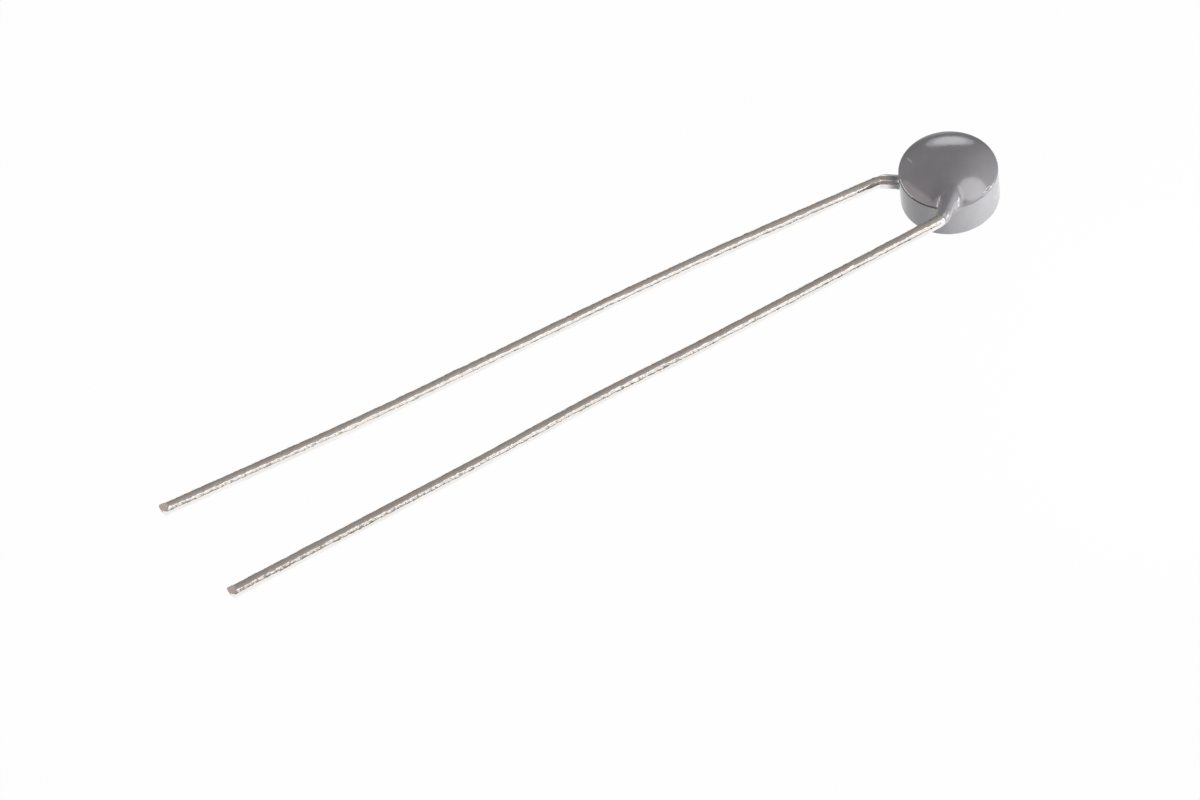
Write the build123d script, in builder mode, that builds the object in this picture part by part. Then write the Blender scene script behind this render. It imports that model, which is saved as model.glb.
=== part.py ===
from build123d import *
from math import acos, asin, cos, degrees, hypot, radians, tan
import os

# A radial NTC thermistor: a sintered disc with a fired electrode on each face, a tinned
# copper lead soldered to each electrode, and one coat of lacquer over all of it.
# It lies on a table as it comes to rest, on its domed underside, the whole of the lower
# lead and the tip of the upper one. X runs along the leads, away from their tips.
# All sizes are in millimetres.

# Ceramic disc and its electrodes
ceramic_diameter = 4.4
ceramic_thickness = 1.0
ceramic_edge = 0.08
electrode_margin = 0.12
electrode_thickness = 0.05

# Leads
wire_diameter = 0.6
lead_pitch = 5.36
tip_spread = 5.84
lead_length = 39.34
tip_stagger = 0.38
bend_radius = 1.0
bend_clearance = 1.04
lead_offset = 0.61
lead_overlap = 1.0
top_exit_height = 1.34

# Solder between each lead and its electrode
solder_film = 0.02
solder_width = 1.0
solder_height = 0.34
solder_margin = 0.3
solder_taper = 30.0

# Lacquer: a thin wall with a crisp rim, a lens over each face, a sleeve on each lead
wall_coat = 0.2
wall_height = 1.99
dome_height = 0.66
rim_radius = 0.06
sleeve_coat = 0.055
sleeve_lip = 0.03

# Lacquer that flows from each lens and rim up onto the lead that leaves over it
flow_start = 0.9
flow_width = 1.8
rim_flow_width = 1.38
web_width = 0.6
web_depth = 0.45
web_end_width = 0.3
flow_root = 0.2
flow_crown = 55.0
flow_inset = 0.03
flow_tension = 0.6

# How the part lies on the table
tilt_along_leads = 5.25
tilt_across_leads = 1.6
body_offset = -0.05

# Gentle bows that handling left in the leads, measured along each lead
top_bow_at = 19.5
top_bow_reach = 6.0
top_bow = 0.14
top_bow_radius = 120.0
bottom_bow_at = 11.0
bottom_bow = 0.24
bottom_bow_radius = 250.0
bottom_counter_bow_from_tip = 10.84
bottom_counter_bow = 0.14
bottom_counter_bow_radius = 150.0

# Chisel cut that the side cutters left on each tip
cut_face_height = 0.22
upper_bevel_length = 0.45
lower_bevel_length = 0.28

# Sizes that follow from the ones above
wire_radius = wire_diameter / 2
sleeve_radius = wire_radius + sleeve_coat
coat_radius = ceramic_diameter / 2 + wall_coat
electrode_radius = ceramic_diameter / 2 - electrode_margin
electrode_face = ceramic_thickness / 2 + electrode_thickness
inner_lead_height = electrode_face + solder_film + wire_radius
lens_radius = (coat_radius**2 + dome_height**2) / (2 * dome_height)
lens_top = wall_height / 2 + dome_height

# Each lead passes beside the middle of the disc and bends past its rim, at half the pitch
corner_reach = coat_radius + bend_clearance
bend_distance = (corner_reach**2 - (lead_pitch / 2) ** 2) ** 0.5
lead_bend = degrees(asin(lead_pitch / 2 / corner_reach) - asin(lead_offset / corner_reach))

# The tilted body stands on the lowest point of its lower lens
tilt = radians(hypot(tilt_along_leads, tilt_across_leads))
body_height = lens_radius - cos(tilt) * (lens_radius - lens_top)

# The origin is on the table, under the middle of the whole part
body_x = (lead_length + bend_distance - coat_radius) / 2
body = Plane(
    Location((body_x, body_offset, body_height), (-tilt_across_leads, -tilt_along_leads, 0))
)
body_section = Plane(origin=body.origin, x_dir=body.x_dir, z_dir=-body.y_dir)
bend_x = body_x - bend_distance
tip_x = bend_x - lead_length


def height_on_body(x, y, level):
    """Height over the table of the point above (x, y) that lies at a level of the body."""
    normal = body.z_dir
    across = normal.X * (x - body.origin.X) + normal.Y * (y - body.origin.Y)
    return body.origin.Z + (level - across) / normal.Z


def inner_end(bend, side):
    """Point on a face of the body where the lead that comes from a bend stops."""
    heading = Vector(1, 0, 0).rotate(Axis.Z, side * lead_bend)
    to_middle = (body.origin - bend).dot(heading)
    end = bend + heading * (to_middle + lead_overlap)
    return Vector(end.X, end.Y, height_on_body(end.X, end.Y, side * inner_lead_height))


# Upper lead: over the rim, then down to the table at its tip
top_bend_y = -lead_pitch / 2
top_bend = Vector(bend_x, top_bend_y, height_on_body(bend_x, top_bend_y, top_exit_height))
top_tip = Vector(tip_x + tip_stagger, -tip_spread / 2, wire_radius)
top_end = inner_end(top_bend, 1)

# Lower lead: under the rim, then flat along the table
bottom_bend = Vector(bend_x, lead_pitch / 2, sleeve_radius)
bottom_tip = Vector(tip_x, tip_spread / 2, wire_radius)
bottom_end = inner_end(bottom_bend, -1)


def along(bend, tip, distance, bow):
    """Point at a distance from the bend, moved sideways by a bow."""
    direction = (tip - bend).normalized()
    return bend + direction * distance + Vector(0, bow, 0)


top_route = [
    top_end,
    top_bend,
    along(top_bend, top_tip, top_bow_at - top_bow_reach, 0),
    along(top_bend, top_tip, top_bow_at, top_bow),
    along(top_bend, top_tip, top_bow_at + top_bow_reach, 0),
    top_tip,
]
top_radii = [bend_radius, top_bow_radius, top_bow_radius, top_bow_radius]
bottom_route = [
    bottom_end,
    bottom_bend,
    along(bottom_bend, bottom_tip, bottom_bow_at, bottom_bow),
    along(bottom_bend, bottom_tip, lead_length - bottom_counter_bow_from_tip, -bottom_counter_bow),
    bottom_tip,
]
bottom_radii = [bend_radius, bottom_bow_radius, bottom_counter_bow_radius]


def cut_plane(tip, heading, length, side):
    """Bevel of the chisel cut, from the blunt end back to the skin of the wire."""
    rise = wire_radius - cut_face_height / 2
    skin = tip - heading * length + Vector(0, 0, side * wire_radius)
    normal = Vector(0, 0, side * length) + heading * rise
    return Plane(origin=skin, z_dir=normal)


def tinned_lead(route, radii):
    """Round wire along a route, with a chisel cut at its free end."""
    with BuildPart() as wire:
        with BuildLine() as path:
            FilletPolyline(*route, radius=radii)
        with BuildSketch(Plane(origin=path.line @ 0, z_dir=path.line % 0)):
            Circle(wire_radius)
        sweep(path=path.line)
        heading = path.line % 1
        split(bisect_by=cut_plane(route[-1], heading, upper_bevel_length, 1), keep=Keep.BOTTOM)
        split(bisect_by=cut_plane(route[-1], heading, lower_bevel_length, -1), keep=Keep.BOTTOM)
    return wire


# Ceramic disc
with BuildPart() as ceramic_disc:
    with BuildSketch(body.offset(-ceramic_thickness / 2)):
        Circle(ceramic_diameter / 2)
    extrude(amount=ceramic_thickness)
    rims = ceramic_disc.edges().filter_by(GeomType.CIRCLE)
    chamfer(rims, length=ceramic_edge)

# Fired silver electrodes
with BuildPart() as electrode_top:
    with BuildSketch(body.offset(ceramic_thickness / 2)):
        Circle(electrode_radius)
    extrude(amount=electrode_thickness)

with BuildPart() as electrode_bottom:
    with BuildSketch(body.offset(-electrode_face)):
        Circle(electrode_radius)
    extrude(amount=electrode_thickness)

# Leads
lead_top = tinned_lead(top_route, top_radii)
lead_bottom = tinned_lead(bottom_route, bottom_radii)


def solder_joint(bend, end, side, lead):
    """Mound of solder on an electrode, drawn up along the flanks of the wire."""
    normal = body.z_dir * side
    run = (bend - end).normalized()
    middle = end + run * lead_overlap
    foot = middle - normal * ((middle - body.origin).dot(normal) - electrode_face)
    length = 2 * (lead_overlap + solder_margin)
    with BuildPart() as mound:
        with BuildSketch(Plane(origin=foot, x_dir=run, z_dir=normal)):
            SlotOverall(length, solder_width)
        extrude(amount=solder_height, taper=solder_taper)
        add(lead.part, mode=Mode.SUBTRACT)
    return mound


# Solder
solder_top = solder_joint(top_bend, top_end, 1, lead_top)
solder_bottom = solder_joint(bottom_bend, bottom_end, -1, lead_bottom)


def flow_section(point, run, side, half_width, depth):
    """Section of the lacquer that flows from the sleeve of a lead down to the body."""
    across = (body.z_dir * side).cross(run)
    crown_radius = sleeve_radius - flow_inset
    crown_drop = depth + crown_radius * cos(radians(flow_crown))
    draw = flow_tension * min(half_width, crown_drop)
    with BuildSketch(Plane(origin=point, x_dir=across, z_dir=run)) as section:
        with BuildLine():
            crown = CenterArc((0, 0), crown_radius, 90 - flow_crown, 2 * flow_crown)
            right_foot = Vector(half_width, -depth)
            left_foot = Vector(-half_width, -depth)
            Bezier(crown @ 0, crown @ 0 - (crown % 0) * draw, right_foot)
            Line(right_foot, left_foot)
            Bezier(left_foot, crown @ 1 + (crown % 1) * draw, crown @ 1)
        make_face()
    return section.sketch


def lacquer_flow(bend, end, side):
    """Lacquer drawn up from the lens and the rim onto a lead that leaves over the rim."""
    run = (bend - end).normalized()
    level_run = Vector(run.X, run.Y, 0).normalized()
    reach = (bend - body.origin).dot(level_run)
    offset = (bend - body.origin).cross(level_run).Z
    rim_at = (coat_radius**2 - offset**2) ** 0.5
    bend_start = reach - bend_radius * tan(radians(lead_bend / 2))
    root = wall_height / 2 - flow_root
    over_body = [
        (flow_start, flow_width),
        ((flow_start + rim_at) / 2, flow_width),
        (rim_at, rim_flow_width),
    ]
    past_rim = [
        ((rim_at + bend_start) / 2, web_width, web_depth),
        (bend_start, web_end_width, wire_radius),
    ]
    sections = []
    for distance, width in over_body:
        point = bend - run * (reach - distance)
        depth = (point - body.origin).dot(body.z_dir * side) - root
        sections.append(flow_section(point, run, side, width / 2, depth))
    for distance, width, depth in past_rim:
        point = bend - run * (reach - distance)
        sections.append(flow_section(point, run, side, width / 2, depth))
    with BuildPart() as flow:
        loft(sections)
    return flow


def lead_sleeve(bend, end, tip):
    """Lacquer drawn along a lead as far as the middle of its bend."""
    inward = (end - bend).normalized()
    outward = (tip - bend).normalized()
    with BuildPart() as sleeve:
        with BuildLine() as path:
            FilletPolyline(end, bend, bend + outward * bend_distance, radius=bend_radius)
        with BuildSketch(Plane(origin=path.line @ 0, z_dir=path.line % 0)):
            Circle(sleeve_radius)
        sweep(path=path.line)
        split(bisect_by=Plane(origin=bend, z_dir=inward - outward), keep=Keep.TOP)
        lip = sleeve.faces().sort_by_distance(bend + outward * bend_distance)[0]
        fillet(lip.edges(), radius=sleeve_lip)
    return sleeve


top_flow = lacquer_flow(top_bend, top_end, 1)
bottom_flow = lacquer_flow(bottom_bend, bottom_end, -1)
top_sleeve = lead_sleeve(top_bend, top_end, top_tip)
bottom_sleeve = lead_sleeve(bottom_bend, bottom_end, bottom_tip)

# Lacquer coat: the lens-faced body, the flows and the sleeves, fitted over what it covers
lens_angle = degrees(acos(coat_radius / lens_radius))
lens_centre = (0, lens_top - lens_radius)
covered = [ceramic_disc, electrode_top, electrode_bottom, solder_top, solder_bottom]
covered += [lead_top, lead_bottom]

with BuildPart() as lacquer_coat:
    with BuildSketch(body_section) as lens_profile:
        with BuildLine():
            upper = CenterArc(lens_centre, lens_radius, lens_angle, 90 - lens_angle)
            lower = mirror(upper, about=Plane.XZ)
            Line(upper @ 0, lower @ 0)
            Line(upper @ 1, lower @ 1)
        make_face()
        rim_corners = lens_profile.vertices().group_by(Axis.X)[-1]
        fillet(rim_corners, radius=rim_radius)
    revolve(axis=Axis(body.origin, body.z_dir))
    for drawn in (top_flow, bottom_flow, top_sleeve, bottom_sleeve):
        add(drawn.part)
    for piece in covered:
        add(piece.part, mode=Mode.SUBTRACT)

pieces = {
    "ceramic_disc": ceramic_disc,
    "electrode_top": electrode_top,
    "electrode_bottom": electrode_bottom,
    "solder_top": solder_top,
    "solder_bottom": solder_bottom,
    "lead_top": lead_top,
    "lead_bottom": lead_bottom,
    "lacquer_coat": lacquer_coat,
}

os.makedirs("parts", exist_ok=True)
for name, piece in pieces.items():
    piece.part.label = name
    export_step(piece.part, f"parts/{name}.step")
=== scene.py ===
from math import asin, cos, degrees, hypot, pi, radians, sin, tan

import bpy
import numpy as np
from mathutils import Matrix, Vector


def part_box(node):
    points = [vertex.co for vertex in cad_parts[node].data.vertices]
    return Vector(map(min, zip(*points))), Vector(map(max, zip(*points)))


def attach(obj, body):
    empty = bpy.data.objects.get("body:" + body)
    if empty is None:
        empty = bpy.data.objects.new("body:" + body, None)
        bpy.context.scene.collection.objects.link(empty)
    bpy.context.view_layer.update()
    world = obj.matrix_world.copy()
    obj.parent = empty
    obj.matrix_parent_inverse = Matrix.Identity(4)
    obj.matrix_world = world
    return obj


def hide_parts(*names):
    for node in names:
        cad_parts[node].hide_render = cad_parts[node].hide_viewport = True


# A lacquered disc thermistor with two tinned leads, lying on a white table.
# The frame is in metres. Sizes below are in millimetres and are scaled by MM.
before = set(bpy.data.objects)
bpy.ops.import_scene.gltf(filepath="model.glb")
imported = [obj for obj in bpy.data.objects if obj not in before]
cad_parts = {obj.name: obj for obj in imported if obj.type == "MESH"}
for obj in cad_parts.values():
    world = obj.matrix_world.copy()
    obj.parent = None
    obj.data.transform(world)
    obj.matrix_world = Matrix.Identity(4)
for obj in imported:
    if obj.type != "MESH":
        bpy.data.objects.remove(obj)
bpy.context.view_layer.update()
MM = 0.001

# Body: a disc with a lens over each face, tilted a little on the table
wall_height = 1.99
dome_height = 0.66
coat_radius = 2.4
tilt_along_leads = 5.25
tilt_across_leads = 1.6

# Leads, as the solids have them
wire_radius = 0.3
sleeve_coat = 0.055
bend_radius = 1.0
bend_clearance = 1.04
lead_offset = 0.61
lead_length = 39.34
tip_stagger = 0.38
lead_pitch = 5.36
tip_spread = 5.84
lead_overlap = 1.0
inner_lead_height = 0.87
top_exit_height = 1.34
body_offset = -0.05

lens_radius = (coat_radius**2 + dome_height**2) / (2 * dome_height)
lens_top = wall_height / 2 + dome_height
tilt = radians(hypot(tilt_along_leads, tilt_across_leads))
body_height = lens_radius - cos(tilt) * (lens_radius - lens_top)
corner_reach = coat_radius + bend_clearance
bend_distance = (corner_reach**2 - (lead_pitch / 2) ** 2) ** 0.5
lead_bend = degrees(asin(lead_pitch / 2 / corner_reach) - asin(lead_offset / corner_reach))
body_x = (lead_length + bend_distance - coat_radius) / 2
body_origin = np.array([body_x, body_offset, body_height])
sleeve_radius = wire_radius + sleeve_coat


def turn(axis, angle):
    """Rotation matrix about a frame axis, in degrees."""
    return np.array(Matrix.Rotation(radians(angle), 3, axis))


# Axes of the tilted body, as columns: along the leads, across them, and out of the top face
body_axes = turn("X", -tilt_across_leads) @ turn("Y", -tilt_along_leads)
body_up = body_axes[:, 2]


def height_on_body(x, y, level):
    """Height over the table of the point above (x, y) that lies at a level of the body."""
    across = body_up[0] * (x - body_origin[0]) + body_up[1] * (y - body_origin[1])
    return body_origin[2] + (level - across) / body_up[2]


def inner_end(bend, side):
    """Point on a face of the body where the lead that comes from a bend stops."""
    heading = turn("Z", side * lead_bend) @ np.array([1.0, 0.0, 0.0])
    end = bend + heading * ((body_origin - bend) @ heading + lead_overlap)
    end[2] = height_on_body(end[0], end[1], side * inner_lead_height)
    return end


def unit(v):
    """Vector of length one."""
    return v / np.linalg.norm(v)


def along(bend, tip, distance, bow):
    """Point at a distance from the bend, moved sideways by a bow."""
    return bend + unit(tip - bend) * distance + np.array([0.0, bow, 0.0])


bend_x = body_x - bend_distance
tip_x = bend_x - lead_length
top_bend_y = -lead_pitch / 2
top_bend = np.array([bend_x, top_bend_y, height_on_body(bend_x, top_bend_y, top_exit_height)])
top_tip = np.array([tip_x + tip_stagger, -tip_spread / 2, wire_radius])
top_end = inner_end(top_bend, 1)
bottom_bend = np.array([bend_x, lead_pitch / 2, sleeve_radius])
bottom_tip = np.array([tip_x, tip_spread / 2, wire_radius])
bottom_end = inner_end(bottom_bend, -1)

# Gentle bows of the leads: distance from the bend, sideways shift and radius of each
top_bows = [(13.5, 0.0, 120.0), (19.5, 0.14, 120.0), (25.5, 0.0, 120.0)]
bottom_bows = [(11.0, 0.24, 250.0), (28.5, -0.14, 150.0)]


def bowed_route(end, bend, tip, bows):
    """Corners of a lead from inside the lacquer to its cut tip, and the radius at each turn."""
    corners = [end, bend] + [along(bend, tip, distance, bow) for distance, bow, _ in bows] + [tip]
    return corners, [bend_radius] + [radius for _, _, radius in bows]


top_route, top_radii = bowed_route(top_end, top_bend, top_tip, top_bows)
bottom_route, bottom_radii = bowed_route(bottom_end, bottom_bend, bottom_tip, bottom_bows)


def rounded_route(corners, radii, step):
    """Points along a route of straight runs joined by tangent arcs, about a step apart."""
    points = [corners[0]]
    for before, corner, after, radius in zip(corners, corners[1:], corners[2:], radii):
        come, go = unit(corner - before), unit(after - corner)
        angle = np.arccos(np.clip(come @ go, -1, 1))
        reach = radius * tan(angle / 2)
        start = corner - come * reach
        centre = start + unit(go - come * (come @ go)) * radius
        points.append(start)
        count = max(3, int(radius * angle / step))
        spoke, swing = start - centre, come * radius
        for i in range(1, count + 1):
            a = angle * i / count
            points.append(centre + spoke * cos(a) + swing * sin(a))
    points.append(corners[-1])
    dense = [points[0]]
    for a, b in zip(points, points[1:]):
        count = max(1, int(np.linalg.norm(b - a) / step))
        dense += [a + (b - a) * (i / count) for i in range(1, count + 1)]
    return np.array(dense)


# Camera: a 200 mm lens that looks down on the part as the photograph does
camera_lens, sensor_width = 200.0, 36.0
camera_azimuth, camera_elevation = -31.03, 51.30
camera_distance = 313.9
camera_target = np.array([body_x - 20.565, -1.722, 0.0])
azimuth, elevation = radians(camera_azimuth), radians(camera_elevation)
camera_back = np.array(
    [sin(azimuth) * cos(elevation), -cos(azimuth) * cos(elevation), sin(elevation)]
)


def make_camera():
    """Camera of the main view, with no shift and no depth of field."""
    data = bpy.data.cameras.new("camera")
    data.lens, data.sensor_width = camera_lens, sensor_width
    data.clip_start, data.clip_end = 0.01, 20.0
    camera = bpy.data.objects.new("camera", data)
    bpy.context.collection.objects.link(camera)
    camera.location = Vector((camera_target + camera_back * camera_distance) * MM)
    camera.rotation_euler = Vector(camera_back).to_track_quat("Z", "Y").to_euler()
    bpy.context.scene.camera = camera


make_camera()


def new_mesh(name, points, faces, normals=None):
    """Mesh object from points in millimetres, shaded smooth, with its own normals if given."""
    mesh = bpy.data.meshes.new(name)
    mesh.from_pydata((np.asarray(points) * MM).tolist(), [], faces)
    mesh.update()
    mesh.polygons.foreach_set("use_smooth", [True] * len(mesh.polygons))
    if normals is not None:
        mesh.normals_split_custom_set_from_vertices(normals.tolist())
    piece = bpy.data.objects.new(name, mesh)
    bpy.context.collection.objects.link(piece)
    return piece


def smooth_min(a, b, width):
    """Smaller of two distances, with a rounded change from one to the other."""
    h = np.maximum(width - np.abs(a - b), 0.0) / width
    return np.minimum(a, b) - h * h * width / 4


# Lacquer: how it rounds at the rim, flows onto the leads and thins out along them
rim_round = 0.07
# Level of the painted shade line in the crease under the rim
crease_shade_level = wall_height / 2 - 0.03
sleeve_end_coat = 0.012
# Unevenness of the wall: depth, number around it and phase of each wave
rim_waves = [(0.006, 3, 0.7), (0.003, 7, 2.1)]
# Flow onto a lead: where it starts and is full, its radius, and how widely it blends
flow_start, flow_end, flow_radius = 1.2, 2.4, 0.352
flow_blend, rim_blend, rim_blend_span = 0.35, 0.07, 0.35
# Fineness of the skin and of the runs it follows, and the room that it needs around them
coat_cell = 0.034
run_step, arc_step = 0.04, 0.06
coat_margin, run_margin, far_away = 0.15, 1.2, 1e3


def flow_at(distance):
    """Radius of the lacquer along a lead, and the width over which it blends into the body."""
    left = np.clip((flow_end - distance) / (flow_end - flow_start), 0.0, 1.0)
    at_rim = np.exp(-(((distance - coat_radius) / rim_blend_span) ** 2))
    return flow_radius * (1 - left**2.5), flow_blend + rim_blend * at_rim


def coated_run(bend, end, tip):
    """Points of a lead's axis that the lacquer follows, with its radius and blend at each."""
    come, go = unit(bend - end), unit(tip - bend)
    level = unit(come * np.array([1.0, 1.0, 0.0]))
    reach = (bend - body_origin) @ level
    slope = come @ level
    before_bend = reach - bend_radius * tan(radians(lead_bend / 2))
    count = int((before_bend - flow_start) / run_step) + 1
    straight = np.linspace(flow_start, before_bend, count)
    points = [bend - come * ((reach - d) / slope) for d in straight]
    radii, blends = [list(values) for values in flow_at(straight)]
    arc = rounded_route([points[-1], bend, bend + go], [bend_radius], arc_step)
    turned = [p for p in arc[1:] if (p - bend) @ (go + come) < 0]
    for i, point in enumerate(turned):
        share = (i + 1) / len(turned)
        points.append(point)
        radii.append(sleeve_radius - (sleeve_coat - sleeve_end_coat) * share**3)
        blends.append(blends[-1])
    return points, radii, blends


def nearest_on_run(p, points, radii, blends):
    """Distance from points to a tube along a run, and the blend width at the nearest place."""
    low, high = np.min(points, axis=0) - run_margin, np.max(points, axis=0) + run_margin
    near = np.all((p > low) & (p < high), axis=1)
    q = p[near]
    best, width = np.full(len(q), far_away), np.full(len(q), blends[0])
    pieces = zip(points, points[1:], radii, radii[1:], blends, blends[1:])
    for a, b, ra, rb, ka, kb in pieces:
        step = b - a
        t = np.clip((q - a) @ step / (step @ step), 0, 1)
        d = np.linalg.norm(q - a - t[:, None] * step, axis=1) - ra - t * (rb - ra)
        closer = d < best
        best = np.where(closer, d, best)
        width = np.where(closer, ka + t * (kb - ka), width)
    distances, widths = np.full(len(p), far_away), np.full(len(p), blends[0])
    distances[near], widths[near] = best, width
    return distances, widths


coated_runs = [
    coated_run(top_bend, top_end, top_tip),
    coated_run(bottom_bend, bottom_end, bottom_tip),
]


def coat_distance(p):
    """Signed distance, about, from points to the surface of the lacquer."""
    q = (p - body_origin) @ body_axes
    radial = np.hypot(q[:, 0], q[:, 1])
    around = np.arctan2(q[:, 1], q[:, 0])
    lens_centre = lens_top - lens_radius
    upper = np.sqrt(radial**2 + (q[:, 2] - lens_centre) ** 2) - lens_radius
    lower = np.sqrt(radial**2 + (q[:, 2] + lens_centre) ** 2) - lens_radius
    wobble = sum(depth * np.sin(waves * around + phase) for depth, waves, phase in rim_waves)
    wall = radial - coat_radius + wobble
    body = -smooth_min(-np.maximum(upper, lower), -wall, rim_round)
    for run in coated_runs:
        tube, width = nearest_on_run(p, *run)
        body = smooth_min(body, tube, width)
    return body


def gradient(f, p, h=0.002):
    """Gradient of a distance at points."""
    steps = np.eye(3) * h
    return np.stack([(f(p + s) - f(p - s)) / (2 * h) for s in steps], axis=1)


def grid_values(f, axes):
    """Distance at every point of a grid, worked out sheet by sheet."""
    values = np.empty([len(axis) for axis in axes])
    y, z = np.meshgrid(axes[1], axes[2], indexing="ij")
    for i, x in enumerate(axes[0]):
        sheet = np.stack([np.full(y.size, x), y.ravel(), z.ravel()], axis=1)
        values[i] = f(sheet).reshape(y.shape)
    return values


cell_corners = [(i, j, k) for i in (0, 1) for j in (0, 1) for k in (0, 1)]


def at_corner(grid, corner):
    """Values of a grid at one corner of each of its cells."""
    i, j, k = corner
    x, y, z = np.array(grid.shape) - 1
    return grid[i:i + x, j:j + y, k:k + z]


def crossing_middles(values, active):
    """Middle of the places where each active cell's edges cross the surface, in cells."""
    total = np.zeros((active.sum(), 3))
    hits = np.zeros(len(total))
    for a in cell_corners:
        for b in cell_corners:
            # An edge joins two corners one step apart
            if sum(b) - sum(a) != 1 or any(q < p for p, q in zip(a, b)):
                continue
            va, vb = at_corner(values, a)[active], at_corner(values, b)[active]
            crossed = (va < 0) != (vb < 0)
            t = np.where(crossed, va / np.where(crossed, va - vb, 1.0), 0.0)
            place = np.array(a) + t[:, None] * (np.array(b) - np.array(a))
            total += np.where(crossed[:, None], place, 0.0)
            hits += crossed
    return total / hits[:, None]


def crossed_faces(inside, index):
    """One quad for each edge of the grid that crosses the surface, facing outward."""
    faces = []
    for axis in range(3):
        u, v = [a for a in range(3) if a != axis]
        first = np.take(inside, range(inside.shape[axis] - 1), axis)
        second = np.take(inside, range(1, inside.shape[axis]), axis)
        edges = np.argwhere(first != second)
        grow = first[tuple(edges.T)]
        du, dv = np.eye(3, dtype=int)[u], np.eye(3, dtype=int)[v]
        ring = [edges - du - dv, edges - dv, edges, edges - du]
        quad = np.stack([index[tuple(r.T)] for r in ring], axis=1)
        # Across the middle axis the other two run the other way round
        flip = grow if axis != 1 else ~grow
        quad[~flip] = quad[~flip][:, ::-1]
        faces.append(quad)
    return np.concatenate(faces).tolist()


def settled(f, points, rounds=4):
    """Points moved onto the zero level of a distance."""
    for _ in range(rounds):
        g = gradient(f, points)
        points = points - g * (f(points) / np.maximum((g * g).sum(1), 1e-6))[:, None]
    return points


def surface_net(f, low, high, cell):
    """Closed mesh of quads on the zero level of a distance, one point in each cell it crosses."""
    counts = np.ceil((high - low) / cell).astype(int) + 1
    values = grid_values(f, [low[i] + np.arange(counts[i]) * cell for i in range(3)])
    inside = values < 0
    filled = sum(at_corner(inside, c).astype(int) for c in cell_corners)
    active = (filled > 0) & (filled < len(cell_corners))
    cells = np.argwhere(active)
    index = np.full(active.shape, -1)
    index[active] = np.arange(len(cells))
    points = settled(f, low + (cells + crossing_middles(values, active)) * cell)
    g = gradient(f, points)
    normals = g / np.linalg.norm(g, axis=1)[:, None]
    return points, crossed_faces(inside, index), normals


def make_coat():
    """Lacquer over the disc and the start of both leads, as one closed skin."""
    low, high = [np.array(corner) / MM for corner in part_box("lacquer_coat")]
    low, high = low - coat_margin, high + coat_margin
    points, faces, normals = surface_net(coat_distance, low, high, coat_cell)
    coat = new_mesh("coat", points, faces, normals)
    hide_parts("lacquer_coat")
    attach(coat, "root")
    return coat


# Leads: rings of points along the route, lumps of tin, and the chisel cut at the tip
ring_points = 48
ring_step = 0.08
tip_step = 0.02
tip_zone = 0.7
cut_face_height = 0.22
upper_bevel_length = 0.30
lower_bevel_length = 0.28
tip_round = 0.23
tip_rings = [0.8, 0.5]
sharp_angle = 35
ripple_count, ripple_height = 14, 0.0009
lump_count, lump_zone = 70, (1.5, 43.5)


def lead_skin(s, phi, seed):
    """Radius of a lead at a distance along it and an angle around it, with its unevenness."""
    rng = np.random.default_rng(seed)
    skin = np.zeros(np.broadcast(s, phi).shape)
    for _ in range(ripple_count):
        pitch, twist = rng.uniform(0.4, 7.0), rng.integers(-3, 4)
        shift = rng.uniform(0, 2 * pi)
        skin += rng.uniform(0.2, 1.0) * np.sin(pitch * s + twist * phi + shift)
    skin *= ripple_height
    for _ in range(lump_count):
        at, turned = rng.uniform(*lump_zone), rng.uniform(-pi, pi)
        height, span = rng.uniform(-0.010, 0.012), rng.uniform(0.08, 0.5)
        width = rng.uniform(0.25, 0.7)
        swing = np.angle(np.exp(1j * (phi - turned)))
        skin += height * np.exp(-(((s - at) / span) ** 2) - (swing / width) ** 2)
    return wire_radius + skin


def lead_rings(route, radii, seed):
    """Points of a lead's axis, and around each a ring that the chisel cut flattens at the tip."""
    line = rounded_route(route, radii, ring_step)
    lengths = np.concatenate([[0.0], np.cumsum(np.linalg.norm(np.diff(line, axis=0), axis=1))])
    total = lengths[-1]
    body_count = int((total - tip_zone) / ring_step)
    body_part = np.linspace(0, total - tip_zone, body_count, endpoint=False)
    tip_part = np.linspace(total - tip_zone, total, int(tip_zone / tip_step) + 1)
    stops = np.concatenate([body_part, tip_part])
    axis = np.stack([np.interp(stops, lengths, line[:, i]) for i in range(3)], axis=1)
    heading = np.gradient(axis, stops, axis=0)
    heading /= np.linalg.norm(heading, axis=1)[:, None]
    across = np.cross([0.0, 0.0, 1.0], heading)
    across /= np.linalg.norm(across, axis=1)[:, None]
    up = np.cross(heading, across)
    phi = np.arange(ring_points) * 2 * pi / ring_points
    radius = lead_skin(stops[:, None], phi[None, :], seed)
    side, rise = radius * np.cos(phi), radius * np.sin(phi)
    from_tip = (total - stops)[:, None]
    half_cut = cut_face_height / 2
    top = half_cut + (wire_radius - half_cut) * from_tip / upper_bevel_length
    base = -half_cut - (wire_radius - half_cut) * from_tip / lower_bevel_length
    rise = np.clip(rise, base, top)
    short = np.clip(tip_round - from_tip, 0, tip_round)
    side = np.minimum(side, wire_radius - tip_round + np.sqrt(tip_round**2 - short**2))
    return axis, axis[:, None] + side[..., None] * across[:, None] + rise[..., None] * up[:, None]


def close_end(points, faces, first, count, centre, shares, outward):
    """Close a tube's end ring with smaller rings and a fan."""
    ring = list(range(first, first + count))
    rim = [np.array(points[i]) for i in ring]
    for share in shares:
        inner = list(range(len(points), len(points) + count))
        points += [(centre + (p - centre) * share).tolist() for p in rim]
        for j in range(count):
            k = (j + 1) % count
            quad = [ring[j], ring[k], inner[k], inner[j]]
            faces.append(quad if outward else quad[::-1])
        ring = inner
    hub = len(points)
    points.append(list(centre))
    for j in range(count):
        k = (j + 1) % count
        tri = [ring[j], ring[k], hub]
        faces.append(tri if outward else tri[::-1])


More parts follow.
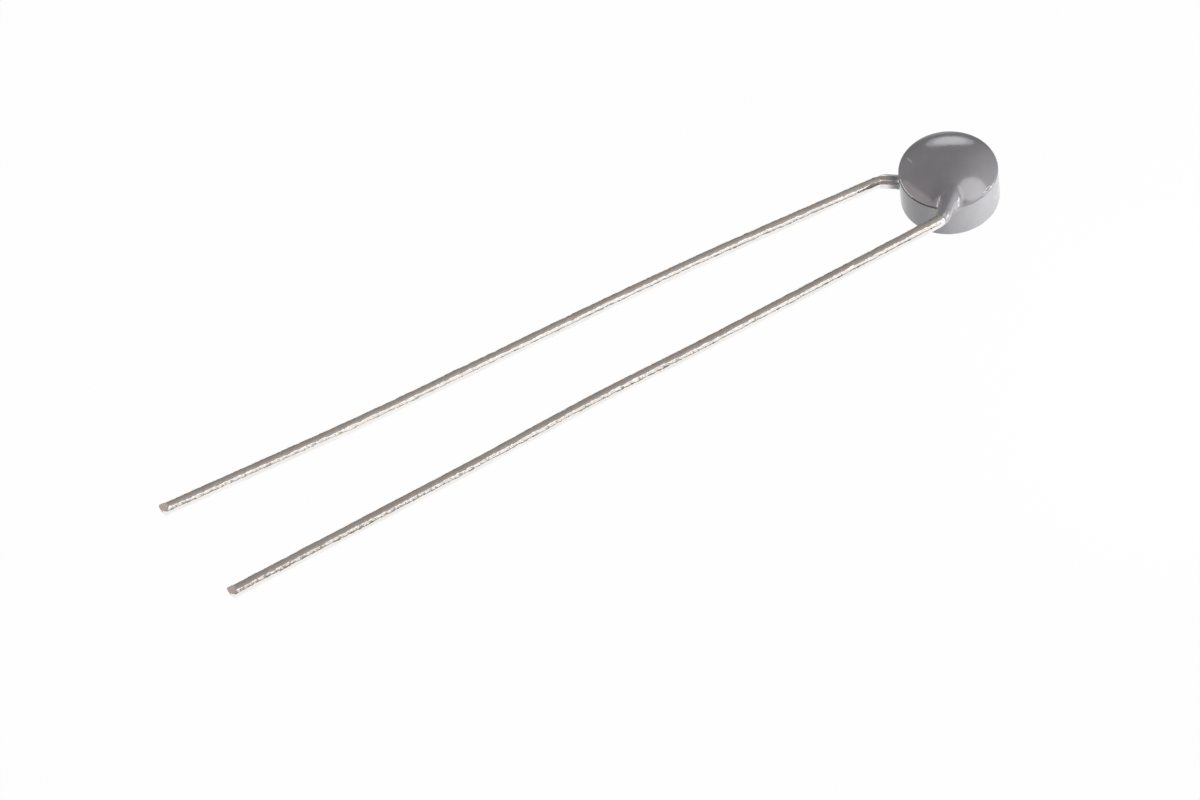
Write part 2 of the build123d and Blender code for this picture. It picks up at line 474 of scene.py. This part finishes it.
def make_lead(name, node, route, radii, seed):
    """Tinned wire along a route, as a closed tube with copper showing on its cut tip."""
    axis, rings = lead_rings(route, radii, seed)
    points = rings.reshape(-1, 3).tolist()
    faces = []
    for i in range(len(axis) - 1):
        for j in range(ring_points):
            k = (j + 1) % ring_points
            a, b = i * ring_points, (i + 1) * ring_points
            faces.append([a + j, a + k, b + k, b + j])
    close_end(points, faces, 0, ring_points, axis[0], [], False)
    tinned_faces = len(faces)
    last_ring = (len(axis) - 1) * ring_points
    close_end(points, faces, last_ring, ring_points, axis[-1], tip_rings, True)
    lead = new_mesh(name, points, faces)
    lead.data.set_sharp_from_angle(angle=radians(sharp_angle))
    lead.data.materials.append(tin)
    lead.data.materials.append(copper)
    for face in lead.data.polygons[tinned_faces:]:
        face.material_index = 1
    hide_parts(node)
    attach(lead, "root")


def new_material(name):
    """Empty node material, its nodes and links, and its Principled shader."""
    material = bpy.data.materials.new(name)
    material.use_nodes = True
    nodes = material.node_tree.nodes
    return material, nodes, material.node_tree.links, nodes["Principled BSDF"]


def noise(nodes, links, scale, detail=3.0, roughness=0.5, stretch=(1, 1, 1)):
    """Noise texture on object coordinates, in cycles per metre, with a stretch per axis."""
    place = nodes.new("ShaderNodeTexCoord")
    mapping = nodes.new("ShaderNodeMapping")
    mapping.inputs["Scale"].default_value = stretch
    texture = nodes.new("ShaderNodeTexNoise")
    texture.inputs["Scale"].default_value = scale
    texture.inputs["Detail"].default_value = detail
    texture.inputs["Roughness"].default_value = roughness
    links.new(place.outputs["Object"], mapping.inputs["Vector"])
    links.new(mapping.outputs["Vector"], texture.inputs["Vector"])
    return texture.outputs["Fac"]


def ramp(nodes, links, value, stops):
    """Colour ramp from (position, colour) stops; a number stands for a grey."""
    node = nodes.new("ShaderNodeValToRGB")
    elements = node.color_ramp.elements
    while len(elements) < len(stops):
        elements.new(1.0)
    for element, (position, colour) in zip(elements, stops):
        element.position = position
        if isinstance(colour, (int, float)):
            colour = (colour, colour, colour)
        element.color = (*colour, 1.0)
    links.new(value, node.inputs["Fac"])
    return node.outputs["Color"]


def bump(nodes, links, shader, height, strength, distance):
    """Bump from a height, distance in metres."""
    node = nodes.new("ShaderNodeBump")
    node.inputs["Strength"].default_value = strength
    node.inputs["Distance"].default_value = distance
    links.new(height, node.inputs["Height"])
    links.new(node.outputs["Normal"], shader.inputs["Normal"])


def math_node(nodes, links, operation, a, b=0.0):
    """Value of a Math node; each input is a socket or a number."""
    node = nodes.new("ShaderNodeMath")
    node.operation = operation
    for value, socket in zip((a, b), node.inputs):
        if isinstance(value, (int, float)):
            socket.default_value = value
        else:
            links.new(value, socket)
    return node.outputs[0]


def stepped(nodes, links, value, low, high):
    """Value taken smoothly from 0 at one level to 1 at another."""
    node = nodes.new("ShaderNodeMapRange")
    node.interpolation_type = "SMOOTHSTEP"
    node.inputs["From Min"].default_value = low
    node.inputs["From Max"].default_value = high
    links.new(value, node.inputs["Value"])
    return node.outputs["Result"]


def dotted(nodes, links, vector, direction):
    """Component of a vector along a direction."""
    node = nodes.new("ShaderNodeVectorMath")
    node.operation = "DOT_PRODUCT"
    node.inputs[1].default_value = direction
    links.new(vector, node.inputs[0])
    return node.outputs["Value"]


def mixed(nodes, links, share, a, b):
    """Colour between two; each is a socket or a colour."""
    node = nodes.new("ShaderNodeMix")
    node.data_type = "RGBA"
    links.new(share, node.inputs["Factor"])
    for value, socket in ((a, node.inputs[6]), (b, node.inputs[7])):
        if isinstance(value, tuple):
            socket.default_value = (*value, 1.0)
        else:
            links.new(value, socket)
    return node.outputs[2]


def near_segment(nodes, links, spot, start, end, width):
    """Mask that is 1 on a line between two points and 0 beyond a width from it."""
    start, line = np.array(start) * MM, (np.array(end) - np.array(start)) * MM
    relative = nodes.new("ShaderNodeVectorMath")
    relative.operation = "SUBTRACT"
    relative.inputs[1].default_value = tuple(start)
    links.new(spot, relative.inputs[0])
    share = dotted(nodes, links, relative.outputs["Vector"], tuple(line / (line @ line)))
    share = math_node(nodes, links, "MINIMUM", math_node(nodes, links, "MAXIMUM", share, 0.0), 1.0)
    nearest = nodes.new("ShaderNodeVectorMath")
    nearest.operation = "SCALE"
    nearest.inputs[0].default_value = tuple(line)
    links.new(share, nearest.inputs["Scale"])
    gap = nodes.new("ShaderNodeVectorMath")
    gap.operation = "DISTANCE"
    links.new(relative.outputs["Vector"], gap.inputs[0])
    links.new(nearest.outputs["Vector"], gap.inputs[1])
    return stepped(nodes, links, gap.outputs["Value"], width * MM, 0.4 * width * MM)


# Small marks on the lacquer: ends of each from the middle of the body, and its tone
mark_width, mark_strength = 0.035, 0.6
marks = [
    ((-1.391, 1.579, 1.035), (-1.404, 1.199, 1.165), 0.55),
    ((0.509, -2.185, 1.166), (0.640, -2.170, 1.164), 0.55),
    ((0.689, -2.092, 1.198), (0.947, -2.016, 1.200), 0.50),
    ((0.947, -2.016, 1.200), (1.005, -2.082, 1.160), 0.60),
    ((0.455, 0.937, 1.553), (0.600, 0.800, 1.574), 0.02),
    ((0.694, 0.714, 1.582), (0.955, 0.606, 1.568), 0.02),
]


def place_on_body(nodes, links):
    """Place seen from the middle of the body, in metres along the frame's axes."""
    place = nodes.new("ShaderNodeTexCoord")
    from_body = nodes.new("ShaderNodeVectorMath")
    from_body.operation = "SUBTRACT"
    from_body.inputs[1].default_value = tuple(body_origin * MM)
    links.new(place.outputs["Object"], from_body.inputs[0])
    return from_body.outputs["Vector"]


def crease_shade_mask(nodes, links, spot):
    """Mask of painted shade: the thin dark line in the crease under the rim, full on the left."""
    level = dotted(nodes, links, spot, tuple(body_up))
    below_rim = math_node(nodes, links, "SUBTRACT", level, crease_shade_level * MM)
    off_rim = math_node(nodes, links, "ABSOLUTE", below_rim)
    crease_shade = stepped(nodes, links, off_rim, 0.030 * MM, 0.012 * MM)
    leftward = dotted(nodes, links, spot, (-cos(azimuth), -sin(azimuth), 0.0))
    on_left = stepped(nodes, links, leftward, -0.4 * MM, 0.6 * MM)
    fullness = math_node(nodes, links, "MULTIPLY", on_left, 0.45)
    fullness = math_node(nodes, links, "ADD", fullness, 0.55)
    crease_shade = math_node(nodes, links, "MULTIPLY", crease_shade, fullness)
    reach = nodes.new("ShaderNodeVectorMath")
    reach.operation = "LENGTH"
    links.new(spot, reach.inputs[0])
    at_rim = stepped(nodes, links, reach.outputs["Value"], 2.66 * MM, 2.62 * MM)
    return math_node(nodes, links, "MULTIPLY", crease_shade, at_rim)


def thin_mask(nodes, links, spot):
    """Mask of the coat's end on the far lead, where the tin shows through."""
    far = dotted(nodes, links, spot, (0.0, 1.0, 0.0))
    on_far_lead = stepped(nodes, links, far, 1.6 * MM, 1.9 * MM)
    outward = dotted(nodes, links, spot, (-1.0, 0.0, 0.0))
    first, last = (bend_distance - 0.50) * MM, (bend_distance - 0.02) * MM
    near_end = stepped(nodes, links, outward, first, last)
    return math_node(nodes, links, "MULTIPLY", near_end, on_far_lead)


def lacquer_material():
    """Glossy grey lacquer: mottled, with painted shade as a dark line in the crease at its rim,
    thin where it ends.
    """
    material, nodes, links, shader = new_material("lacquer_grey")
    shader.inputs["IOR"].default_value = 1.9
    mottle = noise(nodes, links, 900.0, 3.0)
    greys = [(0.3, (0.180, 0.184, 0.203)), (0.7, (0.204, 0.208, 0.227))]
    colour = ramp(nodes, links, mottle, greys)
    rough = ramp(nodes, links, noise(nodes, links, 2500.0, 2.0), [(0.3, 0.10), (0.75, 0.17)])
    links.new(rough, shader.inputs["Roughness"])
    bump(nodes, links, shader, noise(nodes, links, 1500.0, 2.0), 0.25, 0.00002)

    spot = place_on_body(nodes, links)
    crease_shade = crease_shade_mask(nodes, links, spot)
    thin = thin_mask(nodes, links, spot)
    # Painted shade: the crease under the rim is coloured near black
    colour = mixed(nodes, links, crease_shade, colour, (0.012, 0.012, 0.014))
    colour = mixed(nodes, links, thin, colour, (0.80, 0.775, 0.755))
    for start, end, tone in marks:
        mark = near_segment(nodes, links, spot, start, end, mark_width)
        mark = math_node(nodes, links, "MULTIPLY", mark, mark_strength)
        colour = mixed(nodes, links, mark, colour, (tone, tone, tone))
    links.new(colour, shader.inputs["Base Color"])
    links.new(thin, shader.inputs["Metallic"])
    # Painted shade: the crease line also loses some of its shine
    dulled = math_node(nodes, links, "MULTIPLY", crease_shade, 0.45)
    shine = math_node(nodes, links, "SUBTRACT", 0.5, dulled)
    links.new(shine, shader.inputs["Specular IOR Level"])
    return material


def tin_material():
    """Bright tin, drawn along the wire, a little cloudy, with small bumps."""
    material, nodes, links, shader = new_material("tin")
    shader.inputs["Metallic"].default_value = 1.0
    cloud = noise(nodes, links, 1200.0, 4.0, 0.6, (0.35, 1, 1))
    colour = ramp(nodes, links, cloud, [(0.3, (0.86, 0.83, 0.80)), (0.7, (0.95, 0.925, 0.90))])
    links.new(colour, shader.inputs["Base Color"])
    drawn = noise(nodes, links, 3500.0, 3.0, 0.6, (0.3, 1, 1))
    rough = ramp(nodes, links, drawn, [(0.3, 0.10), (0.7, 0.18)])
    links.new(rough, shader.inputs["Roughness"])
    lumps = noise(nodes, links, 1300.0, 2.0, 0.5, (0.8, 1, 1))
    grains = noise(nodes, links, 3800.0, 2.0, 0.5, (0.8, 1, 1))
    lumps = math_node(nodes, links, "MULTIPLY", lumps, 0.6)
    grains = math_node(nodes, links, "MULTIPLY", grains, 0.6)
    height = math_node(nodes, links, "ADD", lumps, grains)
    bump(nodes, links, shader, height, 0.85, 0.00006)
    return material


def copper_material():
    """Freshly cut copper with fine drag lines."""
    material, nodes, links, shader = new_material("copper_cut")
    shader.inputs["Metallic"].default_value = 1.0
    smear = noise(nodes, links, 9000.0, 3.0, 0.6, (1, 1, 0.3))
    colour = ramp(nodes, links, smear, [(0.35, (0.50, 0.20, 0.10)), (0.7, (0.66, 0.32, 0.19))])
    links.new(colour, shader.inputs["Base Color"])
    shader.inputs["Roughness"].default_value = 0.45
    bump(nodes, links, shader, smear, 0.6, 0.00002)
    return material


def hidden_material(name, dark, light, metallic, roughness, scale):
    """Material of a piece that the lacquer covers: two tones in fine grain."""
    material, nodes, links, shader = new_material(name)
    shader.inputs["Metallic"].default_value = metallic
    shader.inputs["Roughness"].default_value = roughness
    grain = noise(nodes, links, scale, 4.0)
    links.new(ramp(nodes, links, grain, [(0.35, dark), (0.65, light)]), shader.inputs["Base Color"])
    bump(nodes, links, shader, grain, 0.4, 0.00002)
    return material


def dress(node, material):
    """Give a carried-over solid its material."""
    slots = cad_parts[node].data.materials
    slots.clear()
    slots.append(material)


# Table: its tone, how much of it is plain white to the eye, and where its mirrored glow ends
table_size = 600.0
table_tone = 0.82
table_white_share = 0.985
glow_fade = 35.0, 70.0


def floor_material():
    """White table: white to the eye, bright around the part in reflections, with soft shadow."""
    material, nodes, links, shader = new_material("table_white")
    shader.inputs["Roughness"].default_value = 0.9
    shader.inputs["Base Color"].default_value = (table_tone, table_tone, table_tone, 1.0)
    glow = nodes.new("ShaderNodeEmission")
    glow.inputs["Strength"].default_value = 1.0
    path = nodes.new("ShaderNodeLightPath")
    is_glossy, is_through = path.outputs["Is Glossy Ray"], path.outputs["Is Transmission Ray"]
    mirrored = math_node(nodes, links, "MAXIMUM", is_glossy, is_through)
    place = nodes.new("ShaderNodeTexCoord")
    length = nodes.new("ShaderNodeVectorMath")
    length.operation = "LENGTH"
    links.new(place.outputs["Object"], length.inputs[0])
    fade = nodes.new("ShaderNodeMapRange")
    fade.inputs["From Min"].default_value = glow_fade[0] * MM
    fade.inputs["From Max"].default_value = glow_fade[1] * MM
    fade.inputs["To Min"].default_value = 1.0
    fade.inputs["To Max"].default_value = 0.0
    links.new(length.outputs["Value"], fade.inputs["Value"])
    near = math_node(nodes, links, "MULTIPLY", mirrored, fade.outputs["Result"])
    seen = math_node(nodes, links, "MULTIPLY", path.outputs["Is Camera Ray"], table_white_share)
    share = math_node(nodes, links, "MAXIMUM", near, seen)
    mix = nodes.new("ShaderNodeMixShader")
    links.new(share, mix.inputs["Fac"])
    links.new(shader.outputs["BSDF"], mix.inputs[1])
    links.new(glow.outputs["Emission"], mix.inputs[2])
    links.new(mix.outputs["Shader"], nodes["Material Output"].inputs["Surface"])
    return material


def make_floor():
    """Flat table under the part."""
    corners = [(x * table_size, y * table_size, 0) for x, y in ((-1, -1), (1, -1), (1, 1), (-1, 1))]
    floor = new_mesh("table", corners, [[0, 1, 2, 3]])
    floor.data.materials.append(floor_material())


def make_world():
    """Dim warm room around the part, lighter at its sides, and plain white to the camera."""
    world = bpy.data.worlds.new("room")
    bpy.context.scene.world = world
    world.use_nodes = True
    nodes, links = world.node_tree.nodes, world.node_tree.links
    background = nodes["Background"]
    place = nodes.new("ShaderNodeTexCoord")
    split = nodes.new("ShaderNodeSeparateXYZ")
    links.new(place.outputs["Generated"], split.inputs["Vector"])
    warm = [
        (0.0, (0.08, 0.075, 0.07)),
        (0.12, (0.09, 0.085, 0.08)),
        (0.3, (0.26, 0.24, 0.225)),
        (1.0, (0.30, 0.275, 0.26)),
    ]
    tone = ramp(nodes, links, split.outputs["Z"], warm)
    white = nodes.new("ShaderNodeBackground")
    white.inputs["Color"].default_value = (1, 1, 1, 1)
    side = dotted(nodes, links, place.outputs["Generated"], (cos(azimuth), sin(azimuth), 0.0))
    to_right = math_node(nodes, links, "MULTIPLY", stepped(nodes, links, side, -0.1, 0.7), 0.7)
    to_left = math_node(nodes, links, "MULTIPLY", stepped(nodes, links, side, -0.35, -0.7), 0.6)
    lift = math_node(nodes, links, "ADD", math_node(nodes, links, "ADD", to_right, to_left), 1.0)
    links.new(tone, background.inputs["Color"])
    links.new(lift, background.inputs["Strength"])
    path = nodes.new("ShaderNodeLightPath")
    mix = nodes.new("ShaderNodeMixShader")
    links.new(path.outputs["Is Camera Ray"], mix.inputs["Fac"])
    links.new(background.outputs["Background"], mix.inputs[1])
    links.new(white.outputs["Background"], mix.inputs[2])
    links.new(mix.outputs["Shader"], nodes["World Output"].inputs["Surface"])


# Axes for the lamps, as columns: right of the body in the picture, in front of it and above it
lamp_axes = np.array(
    [[cos(azimuth), sin(azimuth), 0.0], [sin(azimuth), -cos(azimuth), 0.0], [0.0, 0.0, 1.0]]
).T


def lamp(name, shape, centre, size, strength, colour, across, outward, only=None, mirrored=True):
    """Flat lamp at a place right of, in front of and above the body, in millimetres.

    It may light only one collection, and it may be left out of reflections.
    """
    z_axis = unit(lamp_axes @ np.array(outward, float))
    x_axis = lamp_axes @ np.array(across, float)
    x_axis = unit(x_axis - z_axis * (x_axis @ z_axis))
    y_axis = np.cross(z_axis, x_axis)
    data = bpy.data.lights.new(name, "AREA")
    data.shape, data.size, data.size_y = shape, size[0] * MM, size[1] * MM
    area = size[0] * size[1] * MM * MM * (pi / 4 if shape == "ELLIPSE" else 1)
    data.energy = strength * pi * area
    data.color = colour
    piece = bpy.data.objects.new(name, data)
    bpy.context.collection.objects.link(piece)
    turned = Matrix([list(row) for row in np.stack([x_axis, y_axis, z_axis], axis=1)])
    place = Vector((body_origin + lamp_axes @ np.array(centre)) * MM)
    piece.matrix_world = Matrix.Translation(place) @ turned.to_4x4()
    piece.visible_camera = False
    piece.visible_glossy = mirrored
    if only:
        piece.light_linking.receiver_collection = only


tin, copper = tin_material(), copper_material()
coat = make_coat()
coat.data.materials.append(lacquer_material())
make_lead("wire_top", "lead_top", top_route, top_radii, 11)
make_lead("wire_bottom", "lead_bottom", bottom_route, bottom_radii, 23)

oxide = hidden_material("oxide", (0.06, 0.055, 0.05), (0.10, 0.095, 0.09), 0.0, 0.8, 6000.0)
silver = hidden_material("fired_silver", (0.62, 0.61, 0.58), (0.78, 0.77, 0.74), 1.0, 0.5, 5000.0)
solder = hidden_material("solder_satin", (0.50, 0.49, 0.47), (0.68, 0.67, 0.65), 1.0, 0.35, 3000.0)
dress("ceramic_disc", oxide)
dress("electrode_top", silver)
dress("electrode_bottom", silver)
dress("solder_top", solder)
dress("solder_bottom", solder)

make_floor()
make_world()
# What the lacquer and the tin mirror, and what lights the wall
lacquered = bpy.data.collections.new("lacquered")
lacquered.objects.link(coat)
# The bright patch on the near side of the dome
lamp(
    "lamp_over", "ELLIPSE", (8.7, 1, 20), (13.4, 12), 2.05,
    (0.97, 0.98, 1.0), (0.906, -0.423, 0), (0, 0, 1), lacquered,
)
# The arc at the far side of the dome, in two layers
lamp(
    "lamp_behind", "ELLIPSE", (-5, -400, 114), (235, 155), 1.15,
    (1, 1, 1), (1, 0, 0), (0, -1, 0.25), lacquered,
)
lamp(
    "lamp_arc", "ELLIPSE", (-2, -398, 114), (160, 110), 1.1,
    (1, 1, 1), (1, 0, 0), (0, -1, 0.25), lacquered,
)
# The rosy reflection along the near rim, on the lacquer alone
lamp(
    "lamp_left", "RECTANGLE", (-411, 69, 300), (540, 360), 0.85,
    (1.0, 0.82, 0.84), (0.64, 0.77, 0), (-0.3, 0, 1), lacquered,
)
# The pale right edge of the wall
lamp(
    "lamp_right", "RECTANGLE", (98, 10, 24), (57, 54), 4.3,
    (1, 1, 1), (-0.1, 1, 0), (1, 0.1, 0.2),
)
# Soft light on the right half of the wall, out of reflections
lamp(
    "lamp_front", "RECTANGLE", (18, 14, 1), (10, 3), 84.0,
    (1.0, 0.96, 0.91), (-0.61, 0.79, 0), (0.79, 0.61, 0), mirrored=False,
)
# The bright streak along the leads
lamp(
    "lamp_streak", "RECTANGLE", (216, 130, 312), (240, 90), 0.92,
    (1, 1, 1), (0.83, -0.55, 0), (0.54, 0.36, 0.76),
)
# The soft edge of the streak
lamp(
    "lamp_card", "RECTANGLE", (275, 222, 180), (150, 200), 0.6,
    (1, 1, 1), (-0.61, 0.79, 0), (0.73, 0.56, 0.4),
)
# The sheen on the left flank of the neck, on the lacquer alone
lamp(
    "lamp_side", "RECTANGLE", (-390, -90, 130), (300, 160), 4.0,
    (1, 1, 1), (0.22, 1, 0), (-1, 0.22, 0.3), lacquered,
)

bpy.context.scene.view_settings.view_transform = "Standard"
